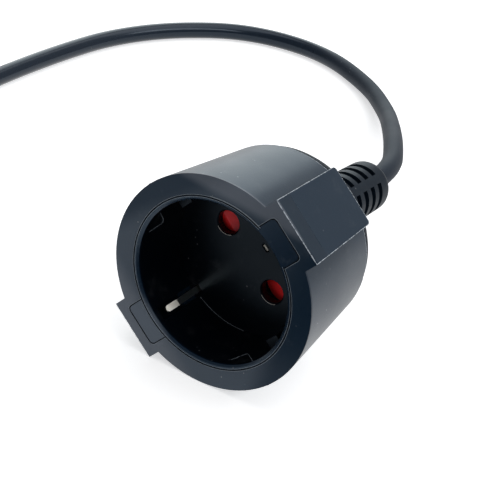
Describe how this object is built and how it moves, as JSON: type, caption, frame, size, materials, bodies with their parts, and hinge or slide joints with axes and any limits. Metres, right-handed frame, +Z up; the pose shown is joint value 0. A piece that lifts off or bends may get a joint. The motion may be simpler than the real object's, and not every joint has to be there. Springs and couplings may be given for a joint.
{
  "type": "power adapter cable",
  "caption": "Power adapter cable: moulded round safety socket with a red shutter, short black flex and a flat-blade cable plug on its far end.",
  "frame": {"origin": "on the floor, under the middle of the socket: midway between its mouth and the end of its strain relief, and under the axis of its well", "axes": "-Y along the socket's axis, out of its mouth; +Z up as the socket lies on its side; +X towards the upper lug, and the flex lies on the -X side"},
  "size_m": [0.2653, 0.1999, 0.0525],
  "materials": {
    "housing": "soft black moulding with a fine satin surface",
    "insert": "hard black moulding, slightly smoother than the housing",
    "shutter": "smooth red plastic",
    "spring_steel": "drawn spring wire",
    "carrier": "grey hard plastic",
    "brass": "plain stamped brass",
    "nickel": "nickel-plated strip, bright",
    "sheath": "smooth black flex sheath with a soft shine",
    "brown_core": "brown insulation",
    "blue_core": "light blue insulation",
    "green_core": "green and yellow insulation",
    "plug_moulding": "soft black moulding with a fine satin surface",
    "plug_carrier": "hard black plastic",
    "blade_metal": "nickel-plated brass"
  },
  "bodies": {
    "cable": {"socket_housing": "housing", "socket_insert": "insert", "shutter_spring": "spring_steel", "contact_carrier": "carrier", "live_contact": "brass", "neutral_contact": "brass", "earth_strap": "nickel", "live_core": "brown_core", "neutral_core": "blue_core", "earth_core": "green_core", "flex_cord": "sheath", "plug_housing": "plug_moulding", "plug_blade_carrier": "plug_carrier", "plug_live_blade": "blade_metal", "plug_neutral_blade": "blade_metal", "plug_earth_blade": "blade_metal", "plug_live_core": "brown_core", "plug_neutral_core": "blue_core", "plug_earth_core": "green_core"},
    "shutter": {"safety_shutter": "shutter"}
  },
  "joints": [
    {"name": "shutter_turn", "type": "hinge", "parent": "cable", "child": "shutter", "pos_m": [0, -0.01944, 0.026], "axis": [0, -1, 0], "range_deg": [0, 40], "stiffness_Nm_per_rad": 0.0005, "deforming": ["shutter_spring"]}
  ]
}
